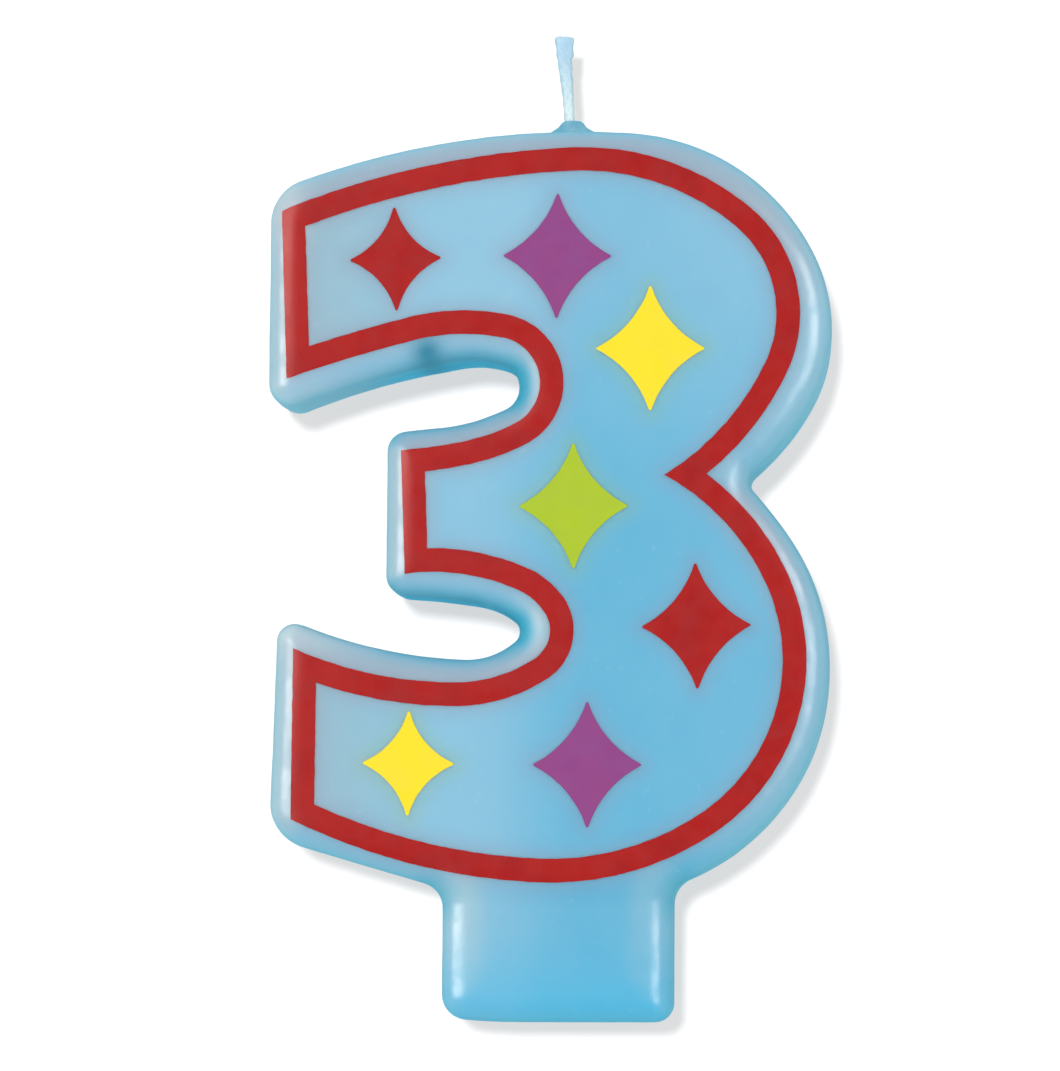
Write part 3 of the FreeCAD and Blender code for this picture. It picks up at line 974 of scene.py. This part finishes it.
def colour_wax(piece, ink_shade_edges):
    """Leaves every colour layer's share, painted light and shade among them, at the vertices of the
    wax.
    """
    normal, _ = slope(wax_field, WAX_VERTICES)
    for name, values in dye_values(WAX_VERTICES, normal).items():
        add_attribute(piece, name, averaged(values, WAX_PAIRS, 5))
    for name, edges in ink_shade_edges.items():
        values = ink_shade(WAX_VERTICES, normal, edges)
        add_attribute(piece, name, averaged(values, WAX_PAIRS, 2))


# ---------------------------------------------------------------- the pieces
def print_film(name, node, loops, slot, inks):
    """A printed film on the wax, and the points of its edge."""
    vertices, faces, fronts = film_mesh(loops)
    claim(add_mesh(name, vertices, faces, inks[slot], fronts), node)
    return np.vstack(loops)


def print_outline(inks):
    """The printed band round the face, and the points of its edge."""
    outer = outline(BAND_START, BAND)
    loops = [trace(outer, BAND_STEP), trace(inset(outer, BAND_WIDTH), BAND_STEP)]
    loops = [uneven(loop, 0.03, 21 + number) for number, loop in enumerate(loops)]
    return print_film("outline_ink", "outline_print", loops, "ink_red", inks)


def build_candle():
    """The printed, dipped candle with its wick, and the core's material."""
    inks = {slot: ink_material(*recipe) for slot, recipe in INKS.items()}
    coat = add_mesh("wax_coat", WAX_VERTICES, WAX_QUADS, wax_material())
    claim(coat, "dip_coat")
    # the edges of the inks that get mauve painted shade beside them, and of those that get greenish
    # painted shade
    red, yellow = [print_outline(inks)], []
    for number, (name, (*shape, slot)) in enumerate(STARS.items()):
        loop = uneven(star_outline(*shape), 0.02, 31 + number)
        edge = print_film(name + "_ink", name, [loop], slot, inks)
        (yellow if slot in ("ink_yellow", "ink_green") else red).append(edge)
    colour_wax(coat, {"ink_shade_red": np.vstack(red), "ink_shade_yellow": np.vstack(yellow)})
    claim(add_mesh("wick_plait", *wick_mesh(), wick_material()), "wick")
    vertices, faces = collar_mesh()
    collar = add_mesh("wick_bell", vertices, faces, collar_material())
    add_attribute(collar, "bare", smoothstep(1.5, 2.0, COLLAR_X - vertices[:, 0]))
    claim(collar, "wick_collar")
    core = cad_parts["wax_core"]
    core.data.materials.clear()
    core.data.materials.append(core_material())


# ---------------------------------------------------------------- studio
# angles in degrees, the azimuth from -Y towards +X, and lengths in millimetres
KEY_DIRECTION = (-5.3, 8.0)
KEY_SPREAD = 7.0
KEY_STRENGTH = 1.35
TABLE_KEY_STRENGTH = 7.0
# azimuth, elevation, width, height, and radiance
STRIPS = {"left_strip": (-43, 8, 440, 500, 8.0), "right_strip": (45, 8, 340, 500, 7.2)}
STRIP_DISTANCE = 600
STRIP_COLOUR = (1.0, 0.95, 0.91)
# radiance of the white surroundings, as they light the candle and as its gloss shows them
WALL_LIGHT = 0.82
GLOSS_LIGHT = 0.16
TABLE_GLOW = 0.62
TABLE_LEVEL = 6.05
TABLE_REACH = 1200
CAMERA_DIRECTION = (3.70, -3.62)
CAMERA_ROLL = 0.11
CAMERA_DISTANCE = 510
# the camera looks at this place on the printed face
AIM = Vector((-2.21, -6.0, 41.11))
# half the frame's height at the printed face
FRAME_HALF_HEIGHT = 45.25
SENSOR_WIDTH = 36.0


def toward(azimuth, elevation):
    """Unit vector from the candle in a direction."""
    side, up = math.radians(azimuth), math.radians(elevation)
    return Vector((math.sin(side) * math.cos(up), -math.cos(side) * math.cos(up), math.sin(up)))


def sun(name, strength):
    """A sun from above and slightly left of the camera, kept out of the gloss."""
    light = add_object(name, bpy.data.lights.new(name, "SUN"))
    light.data.energy = strength
    light.data.angle = math.radians(KEY_SPREAD)
    light.rotation_euler = toward(*KEY_DIRECTION).to_track_quat("Z", "Y").to_euler()
    light.visible_glossy = False
    return light


def soft_box(name, azimuth, elevation, width, height, radiance):
    """A rectangular light facing the candle, seen only in its gloss."""
    lamp = bpy.data.lights.new(name, "AREA")
    lamp.shape = "RECTANGLE"
    lamp.size, lamp.size_y = width * MM, height * MM
    lamp.energy = radiance * math.pi * (width * MM) * (height * MM)
    lamp.color = STRIP_COLOUR
    box = add_object(name, lamp)
    away = toward(azimuth, elevation)
    box.location = CANDLE_MIDDLE + away * (STRIP_DISTANCE * MM)
    box.rotation_euler = away.to_track_quat("Z", "Y").to_euler()
    box.visible_camera = False
    box.visible_diffuse = False


def build_surroundings():
    """White all round, and much dimmer in the gloss."""
    world = bpy.data.worlds.new("studio")
    bpy.context.scene.world = world
    world.use_nodes = True
    tree = world.node_tree
    around = tree.nodes["Background"]
    around.inputs["Color"].default_value = (1, 1, 1, 1)
    around.inputs["Strength"].default_value = WALL_LIGHT
    dim = tree.nodes.new("ShaderNodeBackground")
    dim.inputs["Color"].default_value = (0.92, 0.95, 1, 1)
    dim.inputs["Strength"].default_value = GLOSS_LIGHT
    path = tree.nodes.new("ShaderNodeLightPath")
    blend = tree.nodes.new("ShaderNodeMixShader")
    tree.links.new(path.outputs["Is Glossy Ray"], blend.inputs[0])
    tree.links.new(around.outputs[0], blend.inputs[1])
    tree.links.new(dim.outputs[0], blend.inputs[2])
    tree.links.new(blend.outputs[0], tree.nodes["World Output"].inputs["Surface"])


def table_material():
    """Softly glowing white paper, clear from behind, so that the candle's back shows."""
    paper = Nodes("white_table")
    paper.set(Base_Color=(0.16, 0.16, 0.16, 1), Roughness=0.9, Specular_IOR_Level=0.0)
    paper.set(Emission_Color=(1, 1, 1, 1), Emission_Strength=TABLE_GLOW)
    # painted reflection: in the wax's gloss the table shows a flat blue glow in place of the blue
    # light that the candle throws on it
    glossy = paper.add("ShaderNodeLightPath").outputs["Is Glossy Ray"]
    painted_bounce = paper.add("ShaderNodeEmission", {"Color": (0.18, 0.62, 0.8, 1)}).outputs[0]
    seen = paper.add("ShaderNodeMixShader", {0: glossy, 1: paper.shader.outputs[0], 2: painted_bounce})
    back = paper.add("ShaderNodeNewGeometry").outputs["Backfacing"]
    clear = paper.add("ShaderNodeBsdfTransparent").outputs[0]
    blend = paper.add("ShaderNodeMixShader", {0: back, 1: seen.outputs[0], 2: clear})
    output = paper.tree.nodes["Material Output"]
    paper.tree.links.new(blend.outputs[0], output.inputs["Surface"])
    return paper.material


def build_table():
    """The table top that the candle lies on, just behind its back."""
    near, far = -TABLE_REACH, TABLE_REACH
    ends = ((near, near), (far, near), (far, far), (near, far))
    corners = [(x, TABLE_LEVEL, z) for x, z in ends]
    floor = add_mesh("table_top", corners, [[0, 1, 2, 3]], table_material(), 0)
    floor.visible_diffuse = False
    floor.visible_transmission = False
    floor.visible_shadow = False
    # the table has its own share of the key light, so that its shadows stay a clean light grey
    only_table = bpy.data.collections.new("only_table")
    only_table.objects.link(floor)
    sun("table_key", TABLE_KEY_STRENGTH).light_linking.receiver_collection = only_table


def build_camera():
    """The camera in front of the candle, low and slightly to its right."""
    scene = bpy.context.scene
    camera = add_object("camera", bpy.data.cameras.new("camera"))
    scene.camera = camera
    away = toward(*CAMERA_DIRECTION)
    camera.location = AIM * MM + away * (CAMERA_DISTANCE * MM)
    camera.rotation_mode = "QUATERNION"
    roll = Quaternion((0, 0, 1), math.radians(CAMERA_ROLL))
    camera.rotation_quaternion = away.to_track_quat("Z", "Y") @ roll
    camera.data.sensor_width = SENSOR_WIDTH
    camera.data.lens = SENSOR_WIDTH / 2 * CAMERA_DISTANCE / FRAME_HALF_HEIGHT
    camera.data.clip_start, camera.data.clip_end = 0.01, 10.0
    scene.view_settings.view_transform = "Standard"


build_candle()
build_surroundings()
sun("key", KEY_STRENGTH)
for name, settings in STRIPS.items():
    soft_box(name, *settings)
build_table()
build_camera()
